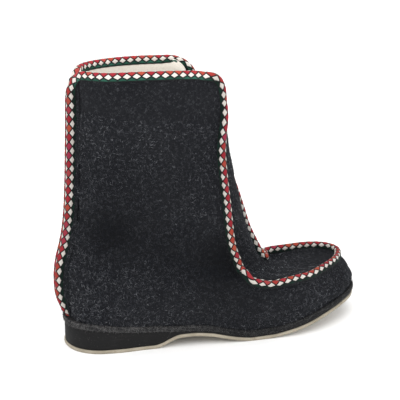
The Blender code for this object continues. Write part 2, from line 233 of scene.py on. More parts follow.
# rings of the upper from sole to collar: back x and z, front x by sole and by collar
# length, front z by vamp and by boot height, sole outline, outer side, inner side, how far
# the ring follows the sole
RINGS = (
    (0.18, 0.000, 0.993, 0.00, 0.00, 0.000, 1.00, 0.00, 0.00, 1.00),
    (0.09, 0.041, 1.007, 0.00, 0.15, 0.000, 1.03, 0.00, 0.00, 1.00),
    (0.06, 0.097, 0.994, 0.00, 0.38, 0.000, 0.86, 0.20, 0.17, 0.85),
    (0.06, 0.196, 0.963, 0.00, 0.78, 0.000, 0.56, 0.50, 0.45, 0.35),
    (0.07, 0.274, 0.893, 0.00, 1.01, 0.000, 0.25, 0.76, 0.74, 0.00),
    (0.18, 0.324, 0.798, 0.00, 1.00, 0.000, 0.05, 0.92, 0.88, 0.00),
    (0.38, 0.374, 0.717, 0.00, 1.01, 0.000, 0.00, 0.95, 0.93, 0.00),
    (0.56, 0.432, 0.667, 0.00, 1.11, 0.000, 0.00, 0.93, 0.92, 0.00),
    (0.70, 0.507, 0.318, 0.69, 1.00, 0.110, 0.00, 0.91, 0.92, 0.00),
    (0.80, 0.603, 0.160, 0.963, 0.60, 0.306, 0.00, 0.93, 0.95, 0.00),
    (0.88, 0.719, 0.060, 1.094, 0.20, 0.570, 0.00, 0.95, 0.96, 0.00),
    (0.97, 0.856, 0.010, 1.150, 0.00, 0.790, 0.00, 0.98, 0.98, 0.00),
    (1.00, 1.000, 0.000, 1.137, 0.00, 1.000, 0.00, 1.00, 1.00, 0.00),
)
TOP_RING = len(RINGS) - 1.0

# run of the braid on the surface, from the outer panel's heel up its back, along the
# collar, down the front, round the toe and the same way back on the inner panel:
# angle off the front, ring, lean from the surface's normal, share tucked over the collar,
# twist toward the panel, millimetres that the pattern sits off the fold
BRAID_RUN = (
    (-180.0, 0.10, 0, 0.0, 10, 0.6),
    (-180.0, 1.00, 0, 0.0, 10, 0.7),
    (-180.0, 2.50, 0, 0.0, 10, 0.8),
    (-180.0, 4.00, 0, 0.0, 10, 0.9),
    (-180.0, 5.40, 0, 0.0, 12, 1.5),
    (-180.0, 6.50, 0, 0.0, 12, 2.1),
    (-180.0, 8.50, 0, 0.0, 12, 2.2),
    (-180.0, 10.50, 0, 0.0, 12, 2.2),
    (-180.0, 11.40, 6, 0.0, 10, 1.9),
    (-178.5, 11.80, 40, 0.4, 10, 1.6),
    (-172.0, 12.00, 70, 1.0, 6, 1.4),
    (-160.0, 12.00, 88, 1.05, 0, 1.4),
    (-135.0, 12.00, 90, 0.95, 0, 1.4),
    (-110.0, 12.00, 90, 0.75, 0, 1.4),
    (-85.0, 12.00, 90, 0.80, 0, 1.4),
    (-68.0, 12.00, 90, 1.0, 0, 1.4),
    (-60.0, 12.00, 84, 1.05, 4, 1.3),
    (-53.0, 12.00, 74, 0.90, 8, 1.2),
    (-48.0, 12.00, 60, 0.25, 10, 1.1),
    (-44.5, 11.88, 44, -0.35, 10, 1.0),
    (-43.2, 11.30, 32, -0.30, 10, 0.9),
    (-47.8, 10.61, 18, -0.05, 11, 1.1),
    (-48.9, 10.00, 12, 0.0, 5, 0.9),
    (-50.3, 9.45, 5, 0.0, -3, 1.0),
    (-52.6, 8.88, 0, 0.0, -8, 1.0),
    (-54.2, 8.04, -6, 0.0, -16, 0.9),
    (-52.8, 7.40, -12, 0.0, -25, 0.8),
    (-55.7, 6.48, -17, 0.0, -30, 0.8),
    (-73.3, 4.27, -20, 0.0, -35, 0.6),
    (-72.3, 4.04, -23, 0.0, -41, 0.3),
    (-70.1, 3.78, -24, 0.0, -45, 0.1),
    (-66.9, 3.68, -25, 0.0, -48, 0.0),
    (-62.8, 3.70, -25, 0.0, -50, 0.0),
    (-58.3, 3.67, -25, 0.0, -52, 0.0),
    (-53.7, 3.64, -24, 0.0, -52, 0.1),
    (-49.1, 3.56, -22, 0.0, -49, 0.2),
    (-34.5, 3.60, -15, 0.0, -38, 0.3),
    (-20.2, 3.52, -8, 0.0, -26, 0.2),
    (-6.7, 3.36, -4, 0.0, -14, 0.0),
    (5.8, 3.10, -4, 0.0, -10, -0.3),
    (17.6, 3.12, -8, 0.0, -14, -0.6),
    (23.2, 3.66, -10, 0.0, -22, -0.8),
    (25.6, 4.36, -10, 0.0, -20, -0.8),
    (28.4, 4.95, -10, 0.0, -12, -0.8),
    (25.7, 5.62, -8, 0.0, -12, -0.8),
    (12.4, 6.22, -5, 0.0, -22, -0.6),
    (2.6, 6.72, 0, 0.0, -30, -0.5),
    (6.3, 7.35, 0, 0.0, -34, -0.4),
    (12.3, 8.17, 0, 0.0, -36, -0.3),
    (13.2, 9.03, 0, 0.0, -38, -0.2),
    (17.6, 9.71, 0, 0.0, -38, -0.2),
    (28.1, 10.44, 6, 0.0, -38, 0.2),
    (39.0, 11.30, 26, 0.0, -30, 0.8),
    (43.0, 11.86, 62, 0.2, -14, 1.0),
    (47.5, 12.00, 80, 0.6, -4, 1.0),
    (54.0, 12.00, 88, 0.85, 0, 0.4),
    (66.0, 12.00, 90, 1.0, 0, -1.0),
    (85.0, 12.00, 90, 1.0, 0, -1.4),
    (110.0, 12.00, 90, 1.0, 0, -1.4),
    (135.0, 12.00, 90, 1.0, 0, -1.4),
    (160.0, 12.00, 90, 1.0, 0, -1.4),
    (172.0, 12.00, 84, 1.0, 0, -1.4),
    (178.5, 11.80, 45, 0.4, 0, -1.4),
    (180.0, 11.40, 6, 0.0, 0, -1.5),
    (180.0, 10.50, 0, 0.0, -4, -1.5),
    (180.0, 8.50, 0, 0.0, -4, -1.5),
    (180.0, 6.50, 0, 0.0, -4, -1.5),
    (180.0, 4.50, 0, 0.0, -4, -1.5),
    (180.0, 2.50, 0, 0.0, -4, -1.5),
    (180.0, 1.00, 0, 0.0, -4, -1.5),
    (180.0, 0.10, 0, 0.0, -4, -1.5),
)

# soft troughs and ridges of the felt: start angle and ring, end angle and ring (angles
# from the heel, up to 180 along the outer side), half width and depth in millimetres;
# a negative depth is a ridge
CREASES = (
    (14, 7.6, 70, 7.9, 9.0, 1.8),
    (20, 6.3, 52, 6.5, 5.0, 0.9),
    (40, 8.6, 95, 8.3, 10.0, 0.9),
    (96, 7.7, 128, 7.2, 8.0, 1.9),
    (100, 6.6, 124, 5.9, 6.0, 1.0),
    (70, 6.9, 104, 6.8, 9.0, 0.8),
    (60, 5.4, 92, 5.5, 8.0, -0.7),
    (24, 4.6, 60, 5.0, 9.0, -0.6),
    (56, 9.4, 74, 10.2, 9.0, 0.6),
    (96, 10.2, 112, 9.3, 9.0, -0.6),
    (104, 3.2, 128, 3.0, 6.0, 0.6),
    (132, 2.4, 150, 2.3, 5.0, 0.5),
    (346, 7.6, 290, 7.9, 9.0, 1.8),
    (338, 6.2, 300, 6.5, 6.0, 0.9),
    (322, 8.8, 268, 8.5, 10.0, 0.9),
    (264, 7.7, 234, 7.1, 8.0, 1.9),
    (262, 6.6, 238, 6.0, 6.0, 0.9),
    (290, 5.4, 262, 5.6, 9.0, -0.7),
    (300, 9.6, 276, 10.4, 9.0, 0.6),
    (256, 3.2, 232, 3.0, 6.0, 0.6),
    (168, 7.6, 190, 7.4, 5.0, 1.0),
    (170, 8.6, 192, 8.4, 7.0, 0.6),
    (160, 5.2, 196, 5.3, 5.0, 0.5),
    (150, 1.50, 205, 1.50, 8.0, 3.4),
    (165, 2.90, 195, 2.90, 5.0, -0.8),
)


def table(rows):
    return np.array(rows, dtype=float)


def steady(at, knots, values):
    """Smooth curve through the knots that never overshoots them."""
    at = np.clip(np.asarray(at, float), knots[0], knots[-1])
    gap = np.diff(knots)
    slope = np.diff(values) / gap
    bend = np.zeros(len(knots))
    for k in range(1, len(knots) - 1):
        if slope[k - 1] * slope[k] > 0:
            before = 2 * gap[k] + gap[k - 1]
            after = gap[k] + 2 * gap[k - 1]
            bend[k] = (before + after) / (before / slope[k - 1] + after / slope[k])
    bend[0] = slope[0]
    bend[-1] = slope[-1]
    return hermite(at, knots, values, bend)


def flowing(at, knots, values):
    """Smooth curve through the knots with rounded turns."""
    at = np.clip(np.asarray(at, float), knots[0], knots[-1])
    return hermite(at, knots, values, np.gradient(values, knots))


def hermite(at, knots, values, bend):
    i = np.clip(np.searchsorted(knots, at, side="right") - 1, 0, len(knots) - 2)
    h = knots[i + 1] - knots[i]
    t = (at - knots[i]) / h
    rise = (1 + 2 * t) * (1 - t) ** 2 * values[i] + t * t * (3 - 2 * t) * values[i + 1]
    return rise + t * (1 - t) ** 2 * h * bend[i] + t * t * (t - 1) * h * bend[i + 1]


def outline_y(angle):
    rows = table(OUTLINE)
    inner = HEEL_WIDTH / 2 * rows[:, 1] + BALL_WIDTH / 2 * rows[:, 2]
    outer = HEEL_WIDTH / 2 * rows[:, 1] + BALL_WIDTH / 2 * rows[:, 3]
    knots = np.concatenate([rows[:, 0], 360 - rows[-2::-1, 0]])
    values = np.concatenate([-outer, inner[-2::-1]])
    knots = np.concatenate([knots[-3:-1] - 360, knots, knots[1:3] + 360])
    values = np.concatenate([values[-3:-1], values, values[1:3]])
    return flowing(np.asarray(angle, float) % 360, knots, values)


def along(x):
    return np.clip(np.asarray(x, float) / SOLE_LENGTH, 0.0, 1.0)


def underside(x):
    rows = table(UNDERSIDE)
    return steady(along(x), rows[:, 0], rows[:, 1] * ARCH_RISE + rows[:, 2] * TOE_SPRING)


def outsole_top(x):
    return underside(x) + OUTSOLE_THICKNESS


def wedge_top(x):
    rows = table(WEDGE_TOP)
    sizes = np.array([HEEL_HEIGHT, ARCH_RISE, FOREPART_HEIGHT, TOE_SPRING])
    return steady(along(x), rows[:, 0], rows[:, 1:] @ sizes)


def midsole_top(x):
    return wedge_top(x) + MIDSOLE_THICKNESS


def collar_drop(angle):
    off_front = np.abs(np.asarray(angle, float) - 180)
    corner = np.radians(FRONT_CORNER_ANGLE)
    per_radian = np.hypot(COLLAR_LENGTH * np.sin(corner), COLLAR_WIDTH * np.cos(corner)) / 2
    into = (corner - np.radians(off_front)) * per_radian + FRONT_CORNER_RADIUS
    into = np.clip(into, 0, FRONT_CORNER_RADIUS)
    front = FRONT_CORNER_RADIUS - np.sqrt(FRONT_CORNER_RADIUS ** 2 - into ** 2)
    off_back = 180 - off_front
    back = BACK_NOTCH_DEPTH * np.clip(1 - off_back / BACK_NOTCH_ANGLE, 0, 1) ** 2
    return front + back


def shell(angle, ring):
    """Outer surface of the upper at an angle round it and a ring number up it."""
    angle = np.asarray(angle, float)
    ring = np.asarray(ring, float)
    rows = table(RINGS)
    count = np.arange(len(rows), dtype=float)
    column = [flowing(ring, count, rows[:, k]) for k in range(rows.shape[1])]
    back_x = column[0] * SHAFT_SETBACK
    back_z = column[1] * BOOT_HEIGHT
    front_x = column[2] * SOLE_LENGTH + column[3] * COLLAR_LENGTH
    front_z = column[4] * VAMP_HEIGHT + column[5] * BOOT_HEIGHT
    turn = np.radians(angle)
    reach = (1 - np.cos(turn)) / 2
    x = back_x + (front_x - back_x) * reach
    side = np.sin(turn)
    half = np.where(side > 0, -column[7], column[8]) * COLLAR_WIDTH / 2
    y = outline_y(angle) * (1 - 2 * UPPER_INSET / BALL_WIDTH) * column[6]
    y = y + half * np.abs(side) ** SIDE_ROUNDNESS
    z = back_z + (front_z - back_z) * reach + column[9] * midsole_top(x)
    top = np.clip(ring - (len(rows) - 2), 0, 1)
    z = z - collar_drop(angle) * top
    return np.stack([x, y, z], -1)


def unit(vectors):
    length = np.linalg.norm(vectors, axis=-1, keepdims=True)
    return vectors / np.maximum(length, 1e-12)


def outward(angle, ring):
    """Outward normal of the upper."""
    above = np.minimum(ring + RING_STEP, TOP_RING)
    below = np.maximum(ring - RING_STEP, 0)
    round_it = shell(angle + ANGLE_STEP, ring) - shell(angle - ANGLE_STEP, ring)
    up_it = shell(angle, above) - shell(angle, below)
    return unit(np.cross(round_it, up_it))


# unevenness of the hand-made felt: wave lengths along x, y and z in metres, phase, height
WAVES = (
    (0.061, 0.083, 0.047, 0.4, 0.00045),
    (-0.037, 0.052, 0.071, 2.1, 0.00035),
    (0.093, -0.041, 0.033, 4.0, 0.00030),
    (0.029, 0.035, -0.026, 1.3, 0.00018),
    (-0.022, 0.024, 0.031, 5.2, 0.00014),
    (0.017, 0.019, 0.015, 3.3, 0.00009),
)


# painted shade on the felt at the ankles, the middle of the shaft and the foot, darker where
# light falls less: angle, ring, radius in millimetres, share darker
PAINTED_SHADES = (
    (45, 7.6, 26, 0.58),
    (112, 7.3, 26, 0.58),
    (80, 7.3, 28, 0.34),
    (75, 9.6, 42, 0.18),
    (95, 3.4, 40, 0.26),
    (150, 2.2, 34, 0.20),
)


def painted_shade_tone(points):
    """Painted shade: brightness of the felt at points, darker in the listed places where light
    falls less.
    """
    flat = np.asarray(points, float).reshape(-1, 3)
    tone = np.ones(len(flat))
    for angle, ring, radius, share in PAINTED_SHADES:
        for way in (angle, 360 - angle):
            far = np.linalg.norm(flat - shell(float(way), ring), axis=1)
            tone *= 1 - share * np.exp(-(far / (radius * 1e-3)) ** 2)
    return tone


def near_line(points, line):
    """Distance from points to a polyline and the share along it of the nearest place."""
    best = np.full(len(points), np.inf)
    share = np.zeros(len(points))
    steps = len(line) - 1
    for k in range(steps):
        d = line[k + 1] - line[k]
        t = np.clip((points - line[k]) @ d / (d @ d), 0, 1)
        far = np.linalg.norm(points - line[k] - t[:, None] * d, axis=1)
        closer = far < best
        best = np.where(closer, far, best)
        share = np.where(closer, (k + t) / steps, share)
    return best, share


def felt_relief(angle, ring, points):
    """How far the felt stands off its plain surface: creases, unevenness and seam rises."""
    flat = points.reshape(-1, 3)
    relief = np.zeros(len(flat))
    for a0, r0, a1, r1, half_width, depth in CREASES:
        t = np.linspace(0, 1, CREASE_POINTS)
        line = shell(a0 + (a1 - a0) * t, r0 + (r1 - r0) * t)
        far, share = near_line(flat, line)
        fade = np.sin(np.pi * np.clip(share, CREASE_END, 1 - CREASE_END)) ** CREASE_FADE
        relief -= depth * 1e-3 * fade * np.exp(-(far / (half_width * 1e-3)) ** 2)
    for wx, wy, wz, phase, height in WAVES:
        turn = flat[:, 0] / wx + flat[:, 1] / wy + flat[:, 2] / wz
        relief += height * np.sin(2 * np.pi * turn + phase)
    rows = table(BRAID_RUN)
    count = np.arange(len(rows), dtype=float)
    for low, high in ((0, 0.5), (0.5, 1)):
        at = np.linspace(low, high, SEAM_SAMPLES) * count[-1]
        angles, rings, _, tuck, _, _ = [flowing(at, count, rows[:, k]) for k in range(6)]
        far, share = near_line(flat, shell(180 + angles, np.clip(rings, 0, TOP_RING)))
        fin = 1 - np.clip(np.interp(share, np.linspace(0, 1, len(at)), tuck), 0, 1)
        relief += fin * SEAM_RISE * np.exp(-(far / SEAM_SPREAD) ** 2)
    low_hold = np.clip(ring.ravel() / HELD_LOW_RINGS, 0, 1)
    high_hold = np.clip((TOP_RING - ring.ravel()) / HELD_HIGH_RINGS, 0, 1) ** HELD_POWER
    return (relief * (low_hold * high_hold)).reshape(angle.shape)


def add_mesh(name, points, faces, material, uv=None, attribute=None):
    """Mesh piece that rides on the boot; points are given from the heel's back."""
    mesh = bpy.data.meshes.new(name)
    points = np.asarray(points, float) - SHIFT
    faces = np.asarray(faces, dtype=np.int32)
    corners = faces.shape[1]
    mesh.vertices.add(len(points))
    mesh.vertices.foreach_set("co", points.astype(np.float32).ravel())
    mesh.loops.add(faces.size)
    mesh.loops.foreach_set("vertex_index", faces.ravel())
    mesh.polygons.add(len(faces))
    mesh.polygons.foreach_set("loop_start", np.arange(0, faces.size, corners, dtype=np.int32))
    mesh.update(calc_edges=True)
    if uv is not None:
        layer = mesh.uv_layers.new(name="run")
        layer.data.foreach_set("uv", np.asarray(uv, np.float32)[faces.ravel()].ravel())
    if attribute is not None:
        tone = mesh.attributes.new("tone", "FLOAT", "POINT")
        tone.data.foreach_set("value", np.asarray(attribute, np.float32))
    mesh.validate()
    mesh.polygons.foreach_set("use_smooth", np.full(len(mesh.polygons), True))
    mesh.update()
    mesh.materials.append(material)
    piece = bpy.data.objects.new(name, mesh)
    bpy.context.scene.collection.objects.link(piece)
    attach(piece, "root")
    return piece


def grid_faces(rows, columns, wrap_rows=False, flip=False):
    """Quads of a grid of points whose columns join round, and its rows too if asked."""
    i, j = np.meshgrid(
        np.arange(rows if wrap_rows else rows - 1),
        np.arange(columns),
        indexing="ij",
    )
    i, j = i.ravel(), j.ravel()
    below = (i + 1) % rows
    right = (j + 1) % columns
    here, under = i * columns, below * columns
    quads = np.stack([here + j, here + right, under + right, under + j], 1)
    return quads[:, ::-1] if flip else quads


class Nodes:
    """Short way to build a material's nodes."""

    def __init__(self, name):
        self.material = bpy.data.materials.new(name)
        self.material.use_nodes = True
        self.tree = self.material.node_tree
        self.shader = self.tree.nodes["Principled BSDF"]

    def node(self, kind, **values):
        made = self.tree.nodes.new(kind)
        for key, value in values.items():
            setattr(made, key, value)
        return made

    def link(self, a, b):
        self.tree.links.new(a, b)

    def put(self, socket, value):
        if isinstance(value, bpy.types.NodeSocket):
            self.link(value, socket)
        else:
            socket.default_value = value

    def place(self):
        return self.node("ShaderNodeTexCoord").outputs["Object"]

    def stretch(self, vector, scale, turn=(0, 0, 0)):
        made = self.node("ShaderNodeMapping")
        self.put(made.inputs["Vector"], vector)
        made.inputs["Scale"].default_value = scale
        made.inputs["Rotation"].default_value = turn
        return made.outputs["Vector"]

    def noise(self, vector, scale, detail=2.0, rough=0.5, distortion=0.0):
        made = self.node("ShaderNodeTexNoise")
        self.put(made.inputs["Vector"], vector)
        made.inputs["Scale"].default_value = scale
        made.inputs["Detail"].default_value = detail
        made.inputs["Roughness"].default_value = rough
        made.inputs["Distortion"].default_value = distortion
        return made.outputs["Fac"]

    def math(self, kind, a, b=0.0):
        made = self.node("ShaderNodeMath", operation=kind)
        self.put(made.inputs[0], a)
        self.put(made.inputs[1], b)
        return made.outputs[0]

    def span(self, value, low, high, to_low=0.0, to_high=1.0):
        made = self.node("ShaderNodeMapRange", interpolation_type="SMOOTHSTEP")
        self.put(made.inputs["Value"], value)
        made.inputs["From Min"].default_value = low
        made.inputs["From Max"].default_value = high
        made.inputs["To Min"].default_value = to_low
        made.inputs["To Max"].default_value = to_high
        return made.outputs["Result"]

    def mix(self, factor, a, b):
        made = self.node("ShaderNodeMix", data_type="RGBA")
        self.put(made.inputs["Factor"], factor)
        self.put(made.inputs["A"], a)
        self.put(made.inputs["B"], b)
        return made.outputs["Result"]

    def scaled(self, colour, share):
        made = self.node("ShaderNodeVectorMath", operation="SCALE")
        self.put(made.inputs[0], colour)
        self.put(made.inputs["Scale"], share)
        return made.outputs[0]

    def ramp(self, value, stops):
        made = self.node("ShaderNodeValToRGB")
        self.put(made.inputs["Fac"], value)
        marks = made.color_ramp.elements
        marks[0].position, marks[0].color = stops[0]
        marks[1].position, marks[1].color = stops[-1]
        for place, colour in stops[1:-1]:
            marks.new(place).color = colour
        return made.outputs["Color"]

    def bump(self, height, strength, distance):
        made = self.node("ShaderNodeBump")
        self.put(made.inputs["Height"], height)
        made.inputs["Strength"].default_value = strength
        made.inputs["Distance"].default_value = distance
        return made.outputs["Normal"]

    def finish(self, colour, roughness, normal=None, sheen=0.0, sheen_tint=None, specular=0.5):
        self.put(self.shader.inputs["Base Color"], colour)
        self.put(self.shader.inputs["Roughness"], roughness)
        self.shader.inputs["Sheen Weight"].default_value = sheen
        self.shader.inputs["Sheen Roughness"].default_value = 0.6
        if sheen_tint:
            self.shader.inputs["Sheen Tint"].default_value = sheen_tint
        self.shader.inputs["Specular IOR Level"].default_value = specular
        if normal is not None:
            self.link(normal, self.shader.inputs["Normal"])
        return self.material


def fibre_lines(n, vector, scale, width, distortion):
    """Thin curly lines, as of loose wool fibres, from the level lines of a noise."""
    field = n.noise(vector, scale, 1.5, 0.5, distortion)
    off = n.math("ABSOLUTE", n.math("SUBTRACT", field, 0.5))
    return n.span(off, 0.0, width, 1.0, 0.0)


def felt_material(name, dark, light, fleck, fleck_share, sheen, bump, depth=0.35, toned=False):
    n = Nodes(name)
    at = n.place()
    broad = n.noise(at, 18.0, 3.0, 0.55)
    cloud = n.noise(at, 170.0, 3.0, 0.6)
    grain = n.noise(at, 900.0, 3.0, 0.65)
    deep = tuple(c * depth for c in dark[:3]) + (1.0,)
    base = n.mix(n.span(broad, 0.3, 0.7), dark, light)
    base = n.mix(n.span(cloud, 0.38, 0.72, 0.0, 0.4), base, light)
    base = n.mix(n.span(grain, 0.3, 0.7, 0.7, 0.0), base, deep)
    curls = fibre_lines(n, at, 640.0, 0.024, 1.2)
    hairs = fibre_lines(n, n.stretch(at, (1.0, 1.0, 0.5), (0.4, 0.2, 0.7)), 1000.0, 0.030, 0.9)
    cross = fibre_lines(n, n.stretch(at, (0.55, 1.1, 1.0), (1.1, 0.5, 0.2)), 900.0, 0.028, 1.0)
    sparse = n.span(n.noise(at, 330.0, 2.0, 0.6), 0.52, 0.64)
    other_patches = n.noise(n.stretch(at, (1, 1, 1), (1, 2, 0)), 410.0, 2.0, 0.6)
    sparse_more = n.span(other_patches, 0.52, 0.62)
    lines = n.math("MULTIPLY", curls, sparse)
    lines = n.math("MAXIMUM", lines, n.math("MULTIPLY", hairs, sparse_more))
    lines = n.math("MAXIMUM", lines, n.math("MULTIPLY", cross, n.math("MULTIPLY", sparse, 0.8)))
    base = n.mix(n.math("MULTIPLY", lines, fleck_share), base, fleck)
    # the mesh's tone attribute scales the colour: painted shade in the hollows and ankles of
    # the upper's felt, and darker toward the toe on the midsole edge
    if toned:
        tone = n.node("ShaderNodeAttribute", attribute_name="tone")
        base = n.scaled(base, tone.outputs["Fac"])
    height = n.math("ADD", n.math("MULTIPLY", grain, 0.7), n.math("MULTIPLY", cloud, 0.5))
    height = n.math("ADD", height, n.math("MULTIPLY", lines, 0.4))
    normal = n.bump(height, bump, 0.0010)
    return n.finish(base, 0.95, normal, sheen, fleck, specular=0.12)


def braid_material():
    """Diamonds in three rows each side of the fold, woven of short satin stitches."""
    n = Nodes("woven_braid_look")
    split = n.node("ShaderNodeSeparateXYZ")
    where = n.node("ShaderNodeUVMap", uv_map="run")
    n.link(where.outputs["UV"], split.inputs[0])
    u = split.outputs["X"]
    v = n.math("MULTIPLY", split.outputs["Y"], 10.0)
    wobble = n.noise(n.place(), 420.0, 1.0, 0.5)
    v = n.math("ADD", v, n.math("MULTIPLY", n.math("SUBTRACT", wobble, 0.5), 0.5))
    across = n.math("ABSOLUTE", v)
    phase = n.math("FRACT", u)
    tooth = n.math("ABSOLUTE", n.math("SUBTRACT", n.math("MULTIPLY", phase, 2.0), 1.0))
    first = n.math("ADD", n.math("MULTIPLY", tooth, FIRST_RISE), FIRST_LOW)
    second = n.math("SUBTRACT", SECOND_HIGH, n.math("MULTIPLY", tooth, SECOND_RISE))
    to_first = n.math("SUBTRACT", first, across)
    to_second = n.math("SUBTRACT", second, across)
    near, far = OUTLINE_HALF - OUTLINE_BLUR, OUTLINE_HALF + OUTLINE_BLUR
    red = n.span(to_first, near, far)
    past_first = n.span(to_first, -near, -far)
    white = n.math("MULTIPLY", past_first, n.span(to_second, near, far))
    edge = n.span(across, DARK_EDGE + 0.15, DARK_EDGE - 0.15)
    past_second = n.span(to_second, -OUTLINE_HALF + 0.05, -OUTLINE_HALF - 0.25)
    green = n.math("MULTIPLY", past_second, edge)
    red_id = n.math("FLOOR", n.math("ADD", u, 0.5))
    white_id = n.math("FLOOR", u)
    side = n.math("MULTIPLY", n.math("SIGN", v), 37.0)
    tint = n.node("ShaderNodeTexWhiteNoise", noise_dimensions="1D")
    n.link(n.math("ADD", red_id, 0.13), tint.inputs["W"])
    reds = n.ramp(tint.outputs["Value"], (
        (0.0, (0.34, 0.022, 0.034, 1)),
        (0.35, (0.38, 0.028, 0.040, 1)),
        (0.60, (0.40, 0.045, 0.036, 1)),
        (0.80, (0.46, 0.085, 0.048, 1)),
        (1.0, (0.35, 0.030, 0.070, 1)),
    ))
    tint_white = n.node("ShaderNodeTexWhiteNoise", noise_dimensions="1D")
    n.link(n.math("ADD", n.math("ADD", white_id, side), 0.37), tint_white.inputs["W"])
    whites = n.ramp(tint_white.outputs["Value"], (
        (0.0, (0.74, 0.69, 0.63, 1)),
        (1.0, (0.82, 0.77, 0.71, 1)),
    ))
    tint_green = n.node("ShaderNodeTexWhiteNoise", noise_dimensions="1D")
    n.link(n.math("ADD", n.math("ADD", red_id, side), 0.71), tint_green.inputs["W"])
    greens = n.ramp(tint_green.outputs["Value"], (
        (0.0, (0.012, 0.055, 0.036, 1)),
        (0.5, (0.022, 0.095, 0.065, 1)),
        (1.0, (0.030, 0.125, 0.088, 1)),
    ))
    # tone attribute, the share tucked over the collar: on the fins the greens and the whole
    # colour are darkened, painted shade with some wear
    shade_and_wear_factor = n.node("ShaderNodeAttribute", attribute_name="tone").outputs["Fac"]
    greens = n.scaled(greens, n.span(shade_and_wear_factor, 0.0, 1.0, 0.25, 1.0))
    colour = n.mix(red, (0.010, 0.011, 0.012, 1), reds)
    colour = n.mix(white, colour, whites)
    colour = n.mix(green, colour, greens)
    threads = n.math("SINE", n.math("MULTIPLY", u, 2 * np.pi * THREADS_PER_PITCH))
    slant = n.math("ADD", n.math("MULTIPLY", v, 7.5), n.math("MULTIPLY", u, 31.0))
    plies = n.math("SINE", slant)
    weave = n.math("ADD", n.math("MULTIPLY", threads, 0.5), n.math("MULTIPLY", plies, 0.22))
    fluff = n.noise(n.place(), 1500.0, 2.0, 0.6)
    shade = n.span(n.math("ADD", n.math("MULTIPLY", weave, 0.5), fluff), -0.1, 1.1, 0.74, 1.08)
    shaded = n.scaled(colour, n.math("MULTIPLY", shade, n.span(shade_and_wear_factor, 0.0, 1.0, 0.72, 1.0)))
    height = n.math("ADD", n.math("MULTIPLY", weave, 0.5), n.math("MULTIPLY", fluff, 0.8))
    normal = n.bump(height, 0.6, 0.0003)
    return n.finish(shaded, 0.9, normal, 0.03, (0.9, 0.85, 0.8, 1), specular=0.12)


def rubber_material():
    n = Nodes("black_rubber_look")
    at = n.place()
    broad = n.noise(at, 40.0, 4.0, 0.6)
    fine = n.noise(at, 900.0, 2.0, 0.6)
    drag = n.noise(n.stretch(at, (0.15, 0.15, 1.6)), 700.0, 2.0, 0.6)
    base = n.mix(
        n.span(broad, 0.3, 0.75), (0.0048, 0.0048, 0.0052, 1), (0.0075, 0.0074, 0.0076, 1)
    )
    base = n.mix(n.span(drag, 0.56, 0.74, 0.0, 0.35), base, (0.020, 0.0195, 0.019, 1))
    specks = n.span(n.noise(at, 1300.0, 1.0, 0.5), 0.70, 0.78, 0.0, 0.5)
    base = n.mix(specks, base, (0.16, 0.15, 0.14, 1))
    rough = n.span(broad, 0.3, 0.7, 0.70, 0.86)
    height = n.math("ADD", n.math("MULTIPLY", fine, 0.4), n.math("MULTIPLY", drag, 0.5))
    return n.finish(base, rough, n.bump(height, 0.35, 0.0004), specular=0.22)


def crepe_material():
    n = Nodes("cream_crepe_look")
    at = n.place()
    broad = n.noise(at, 60.0, 4.0, 0.6)
    crumb = n.noise(at, 750.0, 3.0, 0.65)
    base = n.mix(n.span(broad, 0.3, 0.7), (0.26, 0.230, 0.175, 1), (0.37, 0.330, 0.262, 1))
    base = n.mix(n.span(crumb, 0.5, 0.75, 0.0, 0.5), base, (0.24, 0.19, 0.12, 1))
    dirt = n.span(n.noise(at, 95.0, 3.0, 0.7), 0.58, 0.72, 0.0, 0.55)
    base = n.mix(dirt, base, (0.16, 0.13, 0.09, 1))
    return n.finish(base, 0.8, n.bump(crumb, 0.5, 0.0006), specular=0.3)


def fibre_material(name, stops):
    n = Nodes(name)
    tone = n.node("ShaderNodeAttribute", attribute_name="tone")
    return n.finish(n.ramp(tone.outputs["Fac"], stops), 0.9, None, 0.0, specular=0.1)


def make_upper():
    """Felt wall with its creases, and the cream lining inside it."""
    angles = np.arange(0, 360, 360 / UPPER_COLUMNS)
    rings = np.linspace(0, TOP_RING, UPPER_ROWS)
    ring, angle = np.meshgrid(rings, angles, indexing="ij")
    points = shell(angle, ring)
    normal = outward(angle, ring)
    level = unit(normal[0] * np.array([1.0, 1.0, 0.0]))
    relief = felt_relief(angle, ring, points)
    outer = points + normal * relief[..., None]
    inner = points - normal * FELT_WALL + normal * (INNER_RELIEF * relief[..., None])
    inner[0] = points[0] - level * FELT_WALL
    outer[0, :, 2] = midsole_top(points[0, :, 0])
    inner[0, :, 2] = midsole_top(points[0, :, 0])
    skin = np.concatenate([outer, inner[::INNER_SKIP][::-1]])
    rows, columns = skin.shape[:2]
    # its tone attribute holds painted shade at the ankles and hollows of the felt
    felt = add_mesh(
        "upper_felt", skin.reshape(-1, 3),
        grid_faces(rows, columns, wrap_rows=True, flip=True), FELT,
        attribute=painted_shade_tone(skin),
    )
    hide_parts("upper")
    rows_skip, columns_skip = LINING_SKIP
    coarse = inner[::rows_skip, ::columns_skip]
    lining_in = coarse - normal[::rows_skip, ::columns_skip] * (UPPER_WALL - FELT_WALL)
    loops = np.concatenate([coarse, lining_in[::-1]])
    lining = add_mesh(
        "upper_lining", loops.reshape(-1, 3),
        grid_faces(loops.shape[0], loops.shape[1], wrap_rows=True, flip=True),
        LINING,
    )
    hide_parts("upper")
    return outer, normal, ring


def smooth_run(values, samples):
    """Running average with a bell weight along the first axis."""
    reach = int(samples * 3)
    weight = np.exp(-0.5 * (np.arange(-reach, reach + 1) / samples) ** 2)
    weight /= weight.sum()
    padded = np.concatenate([
        2 * values[:1] - values[reach:0:-1], values, 2 * values[-1:] - values[-2:-reach - 2:-1]
    ])
    columns = [np.convolve(padded[:, k], weight, "valid") for k in range(values.shape[1])]
    return np.stack(columns, 1)


